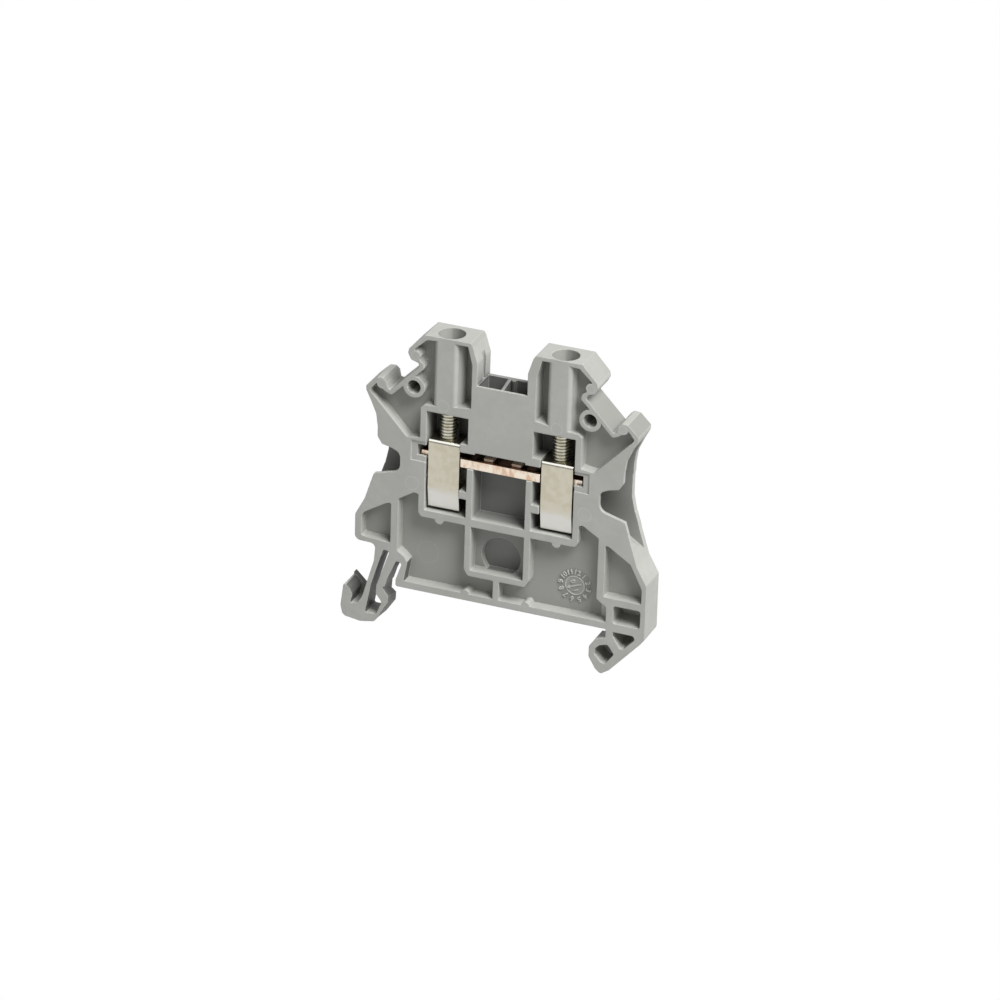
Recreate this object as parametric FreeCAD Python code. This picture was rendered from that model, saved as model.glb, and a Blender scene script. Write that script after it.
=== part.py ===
import FreeCAD, Part
import math
import os

# Feed-through screw terminal block for a 35 mm mounting rail.
# X runs from wire entry to wire entry, Y along the rail, Z up from the rail.
# The origin is the middle of the flat that rests on the top of the rail.
# The open side of the block faces -Y and the closed side faces +Y.

os.makedirs("parts", exist_ok=True)
V = FreeCAD.Vector

# ---- clamping point ----
pole_x = 8.9            # screw axis from the middle plane
screw_d = 2.9           # thread, outside diameter of an M3 screw
thread_fit = 0.05       # radial clearance of the thread in the sleeve
sleeve_t = 0.40         # strip that the clamping sleeve is bent from
sleeve_w = 4.9          # sleeve width along X
sleeve_h = 11.05        # sleeve height
sleeve_recess = 0.30    # sleeve face behind the open side
sleeve_lift_gap = 0.45  # sleeve above the chamber floor when open
jaw_h = 3.40            # folded bottom of the sleeve, up to the clamping face
jaw_taper = 0.45        # each wall leans in by this much over the jaw
top_fold_t = 1.05       # doubled strip that carries the thread
slide_gap = 0.06        # sleeve to the closed wall

# ---- current bar ----
bar_t = 1.30            # copper thickness
bar_gap = 0.15          # bar edge to the sleeve wall
bar_end = 3.75          # bar end beyond the screw axis
bar_recess = 0.25       # bar face behind the open side
window_edge = 0.75      # copper in front of and behind the openings in the bar
lug_x = 2.20            # lug on the bar from the middle plane
lug_w = 1.45            # lug width
lug_h = 0.35            # lug above the bar
clamp_gap = 0.05        # screw tip above the bar, jaw below it when closed

# ---- housing ----
back_wall = 1.00        # closed side
core_depth = 1.85       # cores open to the front
rib = 0.95              # ribs and chamber walls
floor_z = 13.40         # chamber floor
bar_z = 21.40           # underside of the current bar
ceiling_z = 29.45       # chamber ceiling
saddle_z = 34.90        # middle block between the turrets
turret_z = 41.50        # top of the turrets
side_gap_out = 0.35     # sleeve to the outer chamber wall
side_gap_in = 1.35      # sleeve to the inner chamber wall
nib_gap = 0.15          # sleeve to its guide nib
wire_d = 3.20           # throat of the wire funnel
wire_z = 19.60          # wire axis
funnel_wall = 0.60      # front wall of the wire funnel
driver_d = 4.10         # screwdriver shaft
head_d = 3.95           # screw head
head_h = 2.10           # screw head height
head_slot_w = 0.80      # driver slot in the screw head
head_slot_depth = 1.20
head_seat = 0.05        # head above its shoulder
shank_fit = 0.10        # radial clearance of the shank in the ceiling
peg_r = 0.78            # locating peg
socket_r = 1.05         # locating socket
socket_wall = 0.65
bridge_x = 3.90         # outer wall of a bridge shaft
bridge_wall = 0.40      # wall in front of a bridge shaft

# ---- rail foot ----
rail_w = 35.0           # width of the mounting rail
rail_t = 1.00           # thickness of its flange
latch_gap = 0.35        # latch to the rail edge
hook_depth = 7.40       # hook below the rail face
foot_depth = 6.95       # latch below the rail face
root_z = 3.20           # arms leave the housing here
knee_z = -0.55          # arms join the latch foot here
latch_t = 3.80          # latch arms and foot through the depth
pry_t = 4.60            # pry hook through the depth
pry_web_t = 0.95        # web that closes the back of the pry hook
pry_len = 3.30          # thick part of the pry hook ends this far from the latch root

# ---- sizes that follow ----
sleeve_depth = screw_d + 2 * thread_fit + 0.04 + 2 * sleeve_t
width = sleeve_recess + sleeve_depth + slide_gap + back_wall
front = -width / 2
back = width / 2
chamber_depth = width - back_wall
sleeve_y0 = front + sleeve_recess
sleeve_y1 = sleeve_y0 + sleeve_depth
screw_y = (sleeve_y0 + sleeve_y1) / 2
sleeve_z = floor_z + sleeve_lift_gap
sleeve_x0 = pole_x - sleeve_w / 2
sleeve_x1 = pole_x + sleeve_w / 2
inner_x = sleeve_x0 - side_gap_in
outer_x = sleeve_x1 + side_gap_out
bar_top = bar_z + bar_t
seat_z = ceiling_z + rib
hook_x = rail_w / 2
P = pole_x
T = turret_z
W = wire_z


def fillet_point(a, b, c, r):
    """Tangent points and middle of the arc that rounds corner b."""
    u = (a - b)
    w = (c - b)
    room = 0.46 * min(u.Length, w.Length)
    u.normalize()
    w.normalize()
    cos_t = max(-1.0, min(1.0, u.dot(w)))
    half = math.acos(cos_t) / 2
    if half > math.pi / 2 - 0.02 or r <= 0:
        return None
    cut = min(r / math.tan(half), room)
    r = cut * math.tan(half)
    bisector = (u + w)
    bisector.normalize()
    middle = b + bisector * (r / math.sin(half) - r)
    return b + u * cut, middle, b + w * cut


def outline(points):
    """Closed wire in the XZ plane from (x, z) or (x, z, corner radius)."""
    at = [V(p[0], 0, p[1]) for p in points]
    n = len(at)
    edges = []
    first = None
    last = None
    for i in range(n):
        r = points[i][2] if len(points[i]) > 2 else 0
        corner = fillet_point(at[i - 1], at[i], at[(i + 1) % n], r)
        start = corner[0] if corner else at[i]
        if last is not None and (start - last).Length > 1e-6:
            edges.append(Part.makeLine(last, start))
        if corner:
            edges.append(Part.Arc(*corner).toShape())
            last = corner[2]
        else:
            last = at[i]
        if first is None:
            first = start
    if (first - last).Length > 1e-6:
        edges.append(Part.makeLine(last, first))
    return Part.Wire(edges)


def prism(points, y0, y1):
    """Solid of a rounded outline between two depths."""
    solid = Part.Face(outline(points)).extrude(V(0, y1 - y0, 0))
    solid.translate(V(0, y0, 0))
    return solid


def core(points, depth):
    """Tool for a core open to the front, to a depth behind the open side."""
    return prism(points, front - 1, front + depth)


def box(x0, x1, y0, y1, z0, z1):
    return Part.makeBox(x1 - x0, y1 - y0, z1 - z0, V(x0, y0, z0))


def rect(x0, x1, z0, z1, r=0):
    return [(x0, z0, r), (x1, z0, r), (x1, z1, r), (x0, z1, r)]


def flip(points):
    """The same outline on the other side of the middle plane."""
    return [(-p[0],) + tuple(p[1:]) for p in reversed(points)]


def post(x, z, r, y0, y1):
    """Round post along Y."""
    return Part.makeCylinder(r, y1 - y0, V(x, y0, z), V(0, 1, 0))


def fuse(parts):
    solid = parts[0]
    if len(parts) > 1:
        solid = solid.multiFuse(parts[1:])
    return solid.removeSplitter()


# ---- outline of the housing ----
# One shoulder, from the middle block up over the turret and down past the
# marker groove and its barb to the wire funnel. The other is its mirror.
shoulder = [
    (P - 4.95, saddle_z),
    (P - 4.95, T - 3.0, 0.6),
    (P - 4.20, T - 0.6, 0.4),
    (P - 3.85, T, 0.25),
    (P + 3.40, T, 0.30),
    (P + 5.80, T - 2.6, 0.5),
    (P + 5.95, T - 3.3, 0.4),
    (P + 5.45, T - 4.3, 0.5),
    (P + 4.30, T - 4.65, 0.15),
    (P + 4.10, T - 5.3, 0.25),
    (P + 8.55, T - 9.8, 0.2),
    (P + 9.02, T - 9.75, 0.15),
    (P + 9.25, T - 8.60, 0.3),
    (P + 9.80, T - 8.12, 0.3),
    (P + 10.75, T - 8.18, 0.4),
    (P + 12.45, T - 9.8, 0.3),
    (P + 12.40, T - 10.5, 0.4),
    (P + 11.65, T - 12.0, 0.8),
    (P + 10.75, T - 14.0, 1.5),
    (P + 10.47, T - 16.0, 1.2),
    (P + 10.45, W + 4.3, 0.6),
    (P + 9.75, W + 3.2, 0.4),
    (P + 8.20, W + 2.85, 0.8),
    (P + 6.80, W + 2.2, 1.5),
    (P + 6.80, W - 0.7, 1.4),
    (P + 10.92, W - 1.85, 0.25),
    (P + 11.40, W - 3.3, 1.0),
]
hook_side = [
    (P + 11.75, W - 4.6, 1.0),
    (P + 13.00, W - 8.5, 2.0),
    (hook_x + 6.05, 8.2, 0.6),
    (hook_x + 6.10, -0.6, 0.7),
    (hook_x + 5.40, -1.5, 0.6),
    (hook_x + 0.80, 0.8 - hook_depth, 0.8),
    (hook_x - 0.55, -hook_depth - 0.1, 0.5),
    (hook_x - 1.40, 0.6 - hook_depth, 0.4),
    (hook_x - 2.50, -5.0, 0.8),
    (hook_x - 2.50, -3.3, 1.0),
    (hook_x - 1.60, -2.0, 0.6),
    (hook_x, -rail_t - 0.4, 0.1),
    (hook_x, 0.0, 0.15),
]
# The latch side: the body, the outer arm, the pry hook, the foot and the nose.
latch_x = -rail_w / 2 - latch_gap
latch_side = [
    (latch_x + 1.90, 0.0, 0.3),
    (latch_x + 1.90, 1.1, 0.6),
    (latch_x + 2.85, 3.9, 0.42),
    (latch_x + 1.95, 4.2, 0.42),
    (latch_x + 0.64, 1.2, 1.5),
    (latch_x, -0.9, 0.3),
    (latch_x + 0.75, -1.95, 0.3),
    (latch_x + 0.70, -3.0, 0.8),
    (latch_x - 1.35, 0.35 - foot_depth, 0.8),
    (latch_x - 3.65, -foot_depth - 0.05, 1.0),
    (latch_x - 6.50, 0.35 - foot_depth, 0.9),
    (latch_x - 6.90, -5.0, 1.5),
    (latch_x - 6.45, -1.1, 0.3),
    (latch_x - 5.50, -1.9, 0.6),
    (latch_x - 5.00, -2.8, 0.5),
    (latch_x - 5.35, -4.25, 0.2),
    (latch_x - 4.30, -4.2, 0.6),
    (latch_x - 3.45, -2.9, 1.0),
    (latch_x - 1.65, 3.5, 1.5),
    (latch_x - 1.45, 6.3, 0.8),
    (-P - 13.75, 6.4, 0.9),
    (-P - 13.75, 10.6, 0.6),
    (-P - 12.30, W - 6.2, 2.0),
]
# The closed slot between the two latch arms.
arm_slot = [
    (latch_x - 2.95, -5.35, 0.3),
    (latch_x - 1.15, -5.35, 0.4),
    (latch_x - 0.30, -3.3, 0.4),
    (latch_x - 0.45, -2.9, 0.3),
    (latch_x - 1.25, -1.9, 0.3),
    (latch_x - 1.15, -0.5, 0.5),
    (latch_x + 0.85, 5.55, 0.5),
    (latch_x - 0.25, 5.55, 0.5),
    (latch_x - 2.05, -0.5, 1.5),
]

left_shoulder = flip(shoulder)
body_outline = shoulder + hook_side + latch_side + left_shoulder
whole = prism(body_outline, front, back)
whole = whole.cut(prism(arm_slot, front - 1, back + 1))

# ---- latch: the arms and the foot are pieces of the same outline ----
# They are thinner through the depth than the body.
far = turret_z          # cutting tools reach out past every face
latch_x1 = latch_x + 1.6
web_z = 5.75


def wedge(x0, x1, corners):
    """Solid between two X positions from corners given as (y, z)."""
    face = Part.Face(Part.makePolygon([V(x0, y, z) for y, z in corners + corners[:1]]))
    return face.extrude(V(x1 - x0, 0, 0))


def ramp(profile_a, y_a, profile_b, y_b):
    """Solid that changes from one (x, z) profile to another along Y."""
    ends = [outline(profile_a), outline(profile_b)]
    ends[0].translate(V(0, y_a, 0))
    ends[1].translate(V(0, y_b, 0))
    solid = Part.makeLoft(ends, True, True)
    if solid.Volume < 0:
        solid.reverse()
    return solid


def near_latch(points):
    return [(latch_x + x, z) for x, z in points]


latch_y = front + latch_t
latch_foot = whole.common(box(-far, latch_x1, -far, latch_y, -far, knee_z))
pry_hook = box(-far, latch_x - pry_len, -far, front + pry_t, -far, knee_z)
latch_foot = latch_foot.fuse(whole.common(pry_hook))
pry_web = prism(near_latch([
    (-6.3, -0.95), (-6.85, -5.2), (-pry_len, -5.2), (-3.4, -3.8), (-4.64, -2.55),
]), front + pry_t - pry_web_t, front + pry_t)
# The nose sits lower at the back than at the front.
nose_root = [(-0.95, -5.2), (-0.15, -3.4), (-0.25, -2.9)]
nose_space = prism(near_latch([(-0.12, -0.85)] + nose_root[::-1] + [
    (-1.0, -8), (3, -8), (3, 0), (-0.1, 0)]), front - 1, back + 1)
nose = ramp(
    near_latch([(-0.12, -0.85), (0.75, -1.95), (0.70, -3.0), (-1.0, -6.0)] + nose_root),
    front,
    near_latch([(-0.12, -2.40), (0.52, -2.95), (0.46, -4.2), (-1.0, -6.4)] + nose_root),
    latch_y)
latch_foot = latch_foot.fuse(pry_web).cut(nose_space).fuse(nose).removeSplitter()
whole = whole.cut(box(-far, latch_x1, latch_y, far, -far, web_z))
arm_zone = box(-far, latch_x1, -far, far, knee_z, root_z)
foot_zone = box(-far, latch_x1, -far, far, -far, knee_z)
arms = whole.common(arm_zone).Solids
arms.sort(key=lambda s: s.CenterOfMass.x)
housing = whole.cut(arm_zone).cut(foot_zone)

# ---- wire funnels: a flared cavity between the front wall and the closed wall ----
lip = [
    (P + 6.0, W + 4.4), (P + 10.35, W + 4.4, 0.3), (P + 10.35, W + 0.6, 1.5),
    (P + 11.2, W - 3.4, 1.0), (P + 6.0, W - 3.4),
]
roof = [
    (P + 5.3, W + 1.9), (P + 7.4, W + 4.6), (P + 10.3, W + 8.6), (P + 11.5, W + 10.2),
    (P + 17, W + 11.5),
]
funnel = ramp(
    roof + [(P + 17, W - 7.4), (P + 11.6, W - 4.9), (P + 5.3, W - 2.0)],
    front + funnel_wall,
    roof + [(P + 17, W - 10.9), (P + 12.6, W - 7.4), (P + 5.3, W - 2.6)],
    back - back_wall)
housing = housing.fuse(prism(lip, back - back_wall, back))
housing = housing.fuse(prism(flip(lip), back - back_wall, back))
housing = housing.cut(funnel).cut(funnel.mirror(V(0, 0, 0), V(1, 0, 0)))

# ---- cores open to the front ----
box_x = inner_x - rib + 0.05      # inside of the middle box
deep = chamber_depth
cuts = []


def symmetric(points, depth):
    cuts.append(core(points, depth))
    cuts.append(core(flip(points), depth))


symmetric(rect(inner_x, outer_x, floor_z, ceiling_z, 0.12), deep)
# slot of the current bar, with the bar ends in the outer chamber walls
cuts.append(core(rect(-inner_x, inner_x, bar_z - 0.05, bar_top + 1.2), deep))
cuts.append(core(rect(-P + 4.9, P - 4.9, bar_z, bar_top + 1.5), deep))
symmetric(rect(outer_x - 1, P + bar_end + 0.4, bar_z + 0.65, bar_top + 1.15), deep - 0.4)
for s in (1, -1):
    a, b = sorted((s * (outer_x - 1), s * (P + bar_end + 0.4)))
    cuts.append(box(a, b, front + 0.6, front + deep - 0.4, bar_z - 0.05, bar_top + 1.15))
# shallow frame around each bar end
symmetric(rect(outer_x - 0.5, P + 5.1, bar_z - 0.25, bar_top + 1.65, 0.1), 0.15)
# upper and lower middle boxes
cuts.append(core(rect(-box_x, box_x, floor_z, bar_z + 0.2, 0.15), 3.6))
low_z0 = 5.05
low_z1 = floor_z - 1.25
cuts.append(core(rect(-box_x, box_x, low_z0, low_z1, 0.15), core_depth + 0.1))
dish_z = 7.3
dish_r = 3.1
dish = post(0, dish_z, dish_r, front - 1, front + core_depth + 1.0)
cuts.append(dish.common(core(rect(-box_x, box_x, low_z0, low_z1), 4)))

# wide cores either side of the middle, down to the bottom rib
bottom_rib = 1.1
stub = 0.45
floor_under = floor_z - 1.15
left_wide = [
    (-P - 6.90, 14.4, 0.3), (-P - 6.95, 5.9, 0.2), (-P - 5.85, 5.15, 0.6),
    (-P - 5.25, 4.3, 0.4), (-P - 5.80, bottom_rib, 0.2),
    (-stub, bottom_rib, 0.2), (-stub, low_z0 - rib, 0.2),
    (-inner_x + 0.6, low_z0 - rib, 0.5), (-inner_x - 0.05, low_z0 + 0.1, 0.5),
    (-inner_x - 0.05, floor_under, 0.2), (-outer_x - 0.5, floor_under, 0.5),
    (-outer_x - rib, floor_under + 0.7, 0.4), (-outer_x - rib, 15.8, 0.3),
    (-outer_x - rib - 0.7, 15.95, 0.4),
]
right_wide = [
    (P + 6.95, 14.4, 0.3), (outer_x + rib + 0.7, 15.95, 0.4),
    (outer_x + rib, 15.8, 0.3), (outer_x + rib, floor_under + 0.7, 0.4),
    (outer_x + 0.5, floor_under, 0.5), (inner_x + 0.05, floor_under, 0.2),
    (inner_x + 0.05, low_z0 + 0.1, 0.5), (inner_x - 0.6, low_z0 - rib, 0.5),
    (stub, low_z0 - rib, 0.2), (stub, bottom_rib, 0.2),
    (hook_x - 0.05, bottom_rib, 0.2), (hook_x - 0.05, 3.6, 0.4),
    (hook_x - 0.90, 4.1, 0.3), (P + 6.95, 4.7, 0.2),
]
bumps = []
for x in (-P - 0.35, P + 0.35):
    bumps.append(post(x, floor_under, 0.7, front, front + core_depth + 0.5))
for x in (-4.8, 4.8):
    bumps.append(post(x, bottom_rib, 0.6, front, front + core_depth + 0.5))
wide = core(left_wide, core_depth).fuse(core(right_wide, core_depth))
for b in bumps:
    wide = wide.cut(b)
cuts.append(wide)

# side cores under the shoulders
cuts.append(core([
    (-P - 12.75, 7.2, 0.4), (-P - 8.05, 6.9, 0.2), (-P - 8.05, 13.6, 0.5),
    (-P - 9.0, 13.2, 0.5), (-P - 12.4, 11.1, 0.5), (-P - 12.75, 10.4, 0.6),
], core_depth))
cuts.append(core([
    (P + 8.05, 5.15, 0.2), (hook_x + 5.35, 5.15, 0.2), (hook_x + 5.35, 7.5, 0.4),
    (P + 12.05, 11.2, 0.5), (P + 8.5, 13.45, 0.2), (P + 8.05, 13.4, 0.1),
], core_depth))
# three deep cores around the hook
cuts.append(core(rect(hook_x + 1.05, hook_x + 5.3, bottom_rib, 4.0, 0.4), deep))
cuts.append(core([
    (hook_x + 1.1, -0.25, 0.2), (hook_x + 4.35, -0.25, 0.4), (hook_x + 4.6, -0.9, 0.3),
    (hook_x + 2.8, -2.85, 0.4), (hook_x + 2.2, -2.7, 0.4), (hook_x + 1.1, -0.9, 0.3),
], deep))
cuts.append(core([
    (hook_x - 0.85, -2.85, 0.3), (hook_x + 0.4, -2.45, 0.5), (hook_x + 1.45, -3.95, 0.3),
    (hook_x + 0.1, -5.75, 0.4), (hook_x - 0.6, -5.6, 0.4), (hook_x - 1.65, -4.5, 0.5),
    (hook_x - 1.55, -3.5, 0.4),
], 3.6))

# cores beside the chambers, under the marker grooves and up into the turrets
tube_w = driver_d / 2 - 0.15
symmetric([
    (outer_x + rib, ceiling_z - 4.5, 0.2), (P + 5.85, ceiling_z - 4.75, 0.5),
    (P + 11.9, T - 10.4, 0.4), (P + 10.8, T - 9.05, 0.3), (P + 9.4, T - 10.2, 0.3),
    (P + 8.45, T - 10.6, 0.5), (P + 3.35, T - 5.45, 0.4), (P + 3.50, T - 4.7, 0.3),
    (P + 4.30, T - 4.0, 0.3), (P + 5.0, T - 2.6, 0.3), (P + 3.0, T - 0.75, 0.2),
    (P + 1.2, T - 0.6, 0.2), (P + 1.2, seat_z + 0.1, 0.2), (P + 3.2, seat_z, 0.4),
    (outer_x + rib, seat_z - 0.5, 0.3),
], core_depth)
# deeper slots either side of the screwdriver shaft
for side, slot_edge in ((1, P - 3.60), (-1, P - 4.15)):
    slot = [
        (slot_edge, seat_z + 0.75, 0.1), (P - 1.2, seat_z + 0.4, 0.3),
        (P - 1.2, T - 0.6), (slot_edge + 0.75, T - 0.6, 0.2),
        (slot_edge, T - 3.4, 0.5),
    ]
    cuts.append(core(slot if side == 1 else flip(slot), 2.9))

for tool in cuts:
    housing = housing.cut(tool)

# ---- walls, tubes, pegs and nibs put back into the cores ----
adds = []
tube_r = driver_d / 2 + 0.32
for s in (1, -1):
    x = s * P
    tube = Part.makeCylinder(tube_r, T - seat_z + 0.3, V(x, screw_y, seat_z - 0.3))
    flat = box(x - tube_w, x + tube_w, front, screw_y, seat_z - 0.3, T)
    flat = flat.makeFillet(0.7, [e for e in flat.Edges if e.BoundBox.YMax < front + 0.01
                                 and e.BoundBox.ZLength > 1])
    keep = box(x - 4, x + 4, front, back, seat_z - 1, T)
    adds.append(tube.fuse(flat).common(keep))
    # guide nib for the sleeve
    a, b = sorted((s * (inner_x - 0.1), s * (sleeve_x0 - nib_gap)))
    adds.append(box(a, b, front, front + deep, floor_z + 3.0, floor_z + 4.2))
    # ledge beside the bar slot
    adds.append(box(*sorted((s * (inner_x - 0.1), s * (sleeve_x0 - nib_gap))), front,
                    front + deep, bar_top + 1.2, bar_top + 2.5))
    # locating pegs and socket
    adds.append(post(s * (P + 4.8), T - 3.55, peg_r, front, back))
    adds.append(post(s * (P + 10.0), T - 9.05, peg_r, front, back))
    adds.append(post(s * (P + 4.9), T - 8.6, socket_r + socket_wall, front, back))
housing = housing.multiFuse(adds)

cuts = []
for s in (1, -1):
    x = s * P
    # screwdriver shaft, then the hole for the screw shank
    cuts.append(Part.makeCylinder(driver_d / 2, T - seat_z + 1, V(x, screw_y, seat_z)))
    cuts.append(Part.makeCylinder(screw_d / 2 + shank_fit, 3 * rib,
                                  V(x, screw_y, ceiling_z - rib)))
    cuts.append(post(s * (P + 4.9), T - 8.6, socket_r, front - 1, front + deep))
    # throat of the wire funnel
    cuts.append(Part.makeCylinder(wire_d / 2, 6, V(s * (outer_x - 0.5), screw_y, W),
                                  V(s, 0, 0)))
    # groove in the inner face of the turret
    a, b = sorted((s * (P - 5.1), s * (P - 4.6)))
    cuts.append(box(a, b, front + 2.3, front + 3.4, saddle_z, T - 2.2))
# two bridge shafts down to the current bar, with a slanted wall and a rib between
shaft_y0 = front + bridge_wall
shaft_y1 = back - 1.5 * bridge_wall
for corners in (
    [(-bridge_x, shaft_y0), (-0.30, shaft_y0), (-0.80, shaft_y1), (-bridge_x, shaft_y1)],
    [(0.10, shaft_y0), (bridge_x, shaft_y0), (bridge_x, shaft_y1), (0.55, shaft_y1),
     (0.45, shaft_y1 - 0.55), (0.10, shaft_y1 - 0.60), (-0.30, shaft_y1 - 0.15)],
):
    floor = [V(x, y, bar_top + 0.6) for x, y in corners]
    shaft = Part.Face(Part.makePolygon(floor + floor[:1]))
    cuts.append(shaft.extrude(V(0, 0, T - bar_top)))
# the hook is full height at the front and slopes away behind it
cuts.append(wedge(hook_x - 5, hook_x, [
    (front + 1.9, -0.01), (front + 1.9, -rail_t - 0.35), (back + 1, -rail_t - 2.6),
    (back + 1, -0.01),
]))
for tool in cuts:
    housing = housing.cut(tool)
housing = housing.removeSplitter()

# ---- current bar ----
bar_y0 = front + bar_recess
bar_y1 = front + deep - 0.10
arm_y0 = sleeve_y0 + sleeve_t + bar_gap
arm_y1 = sleeve_y1 - sleeve_t - bar_gap
bar_mid = sleeve_x0 - 0.20
current_bar = fuse([
    box(-bar_mid, bar_mid, bar_y0, bar_y1, bar_z, bar_top),
    box(-P - bar_end, P + bar_end, arm_y0, arm_y1, bar_z, bar_top),
])
# three openings side by side, and a raised lug on each rib between them
window_y0 = bar_y0 + window_edge
window_y1 = bar_y1 - window_edge
lug_x0 = lug_x - lug_w / 2
lug_x1 = lug_x + lug_w / 2
for a, b in ((lug_x1, bar_mid - 0.40), (-lug_x0, lug_x0), (0.40 - bar_mid, -lug_x1)):
    opening = box(a, b, window_y0, window_y1, bar_z - bar_t, bar_top + bar_t)
    current_bar = current_bar.cut(opening)
for a in (lug_x0, -lug_x1):
    lug = box(a, a + lug_w, window_y0 + 0.15, window_y1 - 0.6, bar_z, bar_top + lug_h)
    current_bar = current_bar.fuse(lug)
current_bar = current_bar.removeSplitter()


# ---- clamping sleeves: a strip folded into a loop around the bar ----
def loop(y0, y1, z0, z1, lean_z, lean):
    corners = [
        V(0, y0, z1), V(0, y1, z1), V(0, y1, lean_z), V(0, y1 - lean, z0),
        V(0, y0 + lean, z0), V(0, y0, lean_z), V(0, y0, z1),
    ]
    return Part.Face(Part.makePolygon(corners))


def sleeve(x):
    top = sleeve_z + sleeve_h
    outer = loop(sleeve_y0, sleeve_y1, sleeve_z, top, sleeve_z + jaw_h - 0.3, jaw_taper)
    outer = outer.extrude(V(sleeve_w, 0, 0))
    edges = [e for e in outer.Edges if e.BoundBox.XLength > 1]
    outer = outer.makeFillet(0.25, edges)
    hollow = box(-1, sleeve_w + 1, sleeve_y0 + sleeve_t, sleeve_y1 - sleeve_t,
                 sleeve_z + jaw_h, top - top_fold_t)
    solid = outer.cut(hollow)
    # clamping grooves across the jaw and the seam of the folded top
    for i in (0.25, 0.5, 0.75):
        groove = Part.makeCylinder(0.22, sleeve_depth,
                                   V(i * sleeve_w, sleeve_y0, sleeve_z + jaw_h),
                                   V(0, 1, 0))
        keep = box(0, sleeve_w, sleeve_y0 + sleeve_t, sleeve_y1 - sleeve_t,
                   sleeve_z, top)
        solid = solid.cut(groove.common(keep))
    seam = box(-1, sleeve_w + 1, sleeve_y0 - 1, sleeve_y0 + 0.12, top - 0.42, top - 0.34)
    solid = solid.cut(seam)
    solid.translate(V(x - sleeve_w / 2, 0, 0))
    bore = Part.makeCylinder(screw_d / 2 + thread_fit, 2 * top_fold_t + 1,
                             V(x, screw_y, top - top_fold_t - 0.5))
    return solid.cut(bore)


# ---- clamping screws: slotted head on a thread, turned from above ----
def screw(x):
    tip = bar_top + clamp_gap
    shoulder_z = seat_z + head_seat
    shank = Part.makeCylinder(screw_d / 2, shoulder_z - tip, V(x, screw_y, tip))
    rim = [e for e in shank.Edges if e.BoundBox.ZMax < tip + 0.01 and e.Length > 1]
    shank = shank.makeChamfer(0.35, rim[:1])
    head = Part.makeCylinder(head_d / 2, head_h, V(x, screw_y, shoulder_z))
    rim = [e for e in head.Edges if e.BoundBox.ZMin > shoulder_z + head_h - 0.01]
    head = head.makeChamfer(0.2, rim)
    slot = box(x - head_d, x + head_d, screw_y - head_slot_w / 2,
               screw_y + head_slot_w / 2, shoulder_z + head_h - head_slot_depth,
               shoulder_z + head_h + 1)
    return shank.fuse(head).cut(slot).removeSplitter()


pieces = {
    "housing": housing,
    "latch_arm_outer": arms[0],
    "latch_arm_inner": arms[1],
    "latch_foot": latch_foot,
    "current_bar": current_bar,
    "clamping_sleeve_left": sleeve(-P),
    "clamping_sleeve_right": sleeve(P),
    "clamping_screw_left": screw(-P),
    "clamping_screw_right": screw(P),
}
for name, shape in pieces.items():
    solids = shape.Solids
    if len(solids) == 1:
        shape = solids[0]
    b = shape.BoundBox
    print(name, len(solids), "solid", round(shape.Volume, 2), shape.isValid(),
          [round(v, 2) for v in (b.XMin, b.YMin, b.ZMin, b.XMax, b.YMax, b.ZMax)])
    shape.exportStep("parts/" + name + ".step")
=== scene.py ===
# %% [markdown]
# # A feed-through terminal block for a DIN rail
#
# The block is an open half shell of grey nylon. It holds two clamping sleeves,
# two screws and a copper bar. The frame that is loaded here already has every
# solid at its true size, in metres, so this script adds finishes, light and the
# fine parts that the solids leave out.

# %% Load the frame and measure it
import math

import bmesh
import bpy
from mathutils import Matrix, Vector


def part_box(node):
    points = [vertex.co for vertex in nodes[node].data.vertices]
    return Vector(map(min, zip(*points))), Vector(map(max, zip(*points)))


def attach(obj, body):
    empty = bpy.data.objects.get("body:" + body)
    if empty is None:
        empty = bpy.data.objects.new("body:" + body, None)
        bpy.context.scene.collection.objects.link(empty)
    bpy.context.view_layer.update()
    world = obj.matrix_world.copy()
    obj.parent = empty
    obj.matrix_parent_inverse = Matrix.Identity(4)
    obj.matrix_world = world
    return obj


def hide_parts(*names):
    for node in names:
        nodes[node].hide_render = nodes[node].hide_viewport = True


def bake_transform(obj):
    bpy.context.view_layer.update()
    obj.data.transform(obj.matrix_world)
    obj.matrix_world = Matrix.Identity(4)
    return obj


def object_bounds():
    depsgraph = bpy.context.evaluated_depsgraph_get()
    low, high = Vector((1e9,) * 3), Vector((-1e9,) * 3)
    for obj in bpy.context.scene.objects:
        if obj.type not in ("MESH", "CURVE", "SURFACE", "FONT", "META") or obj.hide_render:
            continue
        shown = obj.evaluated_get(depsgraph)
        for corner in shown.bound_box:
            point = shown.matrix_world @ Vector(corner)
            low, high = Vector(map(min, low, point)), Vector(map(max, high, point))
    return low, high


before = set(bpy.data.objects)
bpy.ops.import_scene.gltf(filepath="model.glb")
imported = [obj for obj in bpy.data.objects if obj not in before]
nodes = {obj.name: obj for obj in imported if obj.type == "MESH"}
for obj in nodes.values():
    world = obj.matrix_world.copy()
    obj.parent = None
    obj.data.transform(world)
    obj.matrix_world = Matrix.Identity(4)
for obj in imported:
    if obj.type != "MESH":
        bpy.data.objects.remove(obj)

MM = 0.001
# vertices this close are one, in metres
WELD, FINE_WELD = 1e-6, 1e-7
frame_box = [list(corner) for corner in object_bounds()]
print("solids:", sorted(nodes))
print("box in mm:", [[round(v / MM, 2) for v in corner] for corner in frame_box])

# %% [markdown]
# ## The camera
#
# A product shot of so flat an object is taken with a long lens, from a little to
# the right and above. The camera is placed on a sphere round the middle of the
# block. It is rolled by two degrees, so its three axes are worked out first and
# go into one matrix. A tracking constraint would not give the roll.

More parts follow.
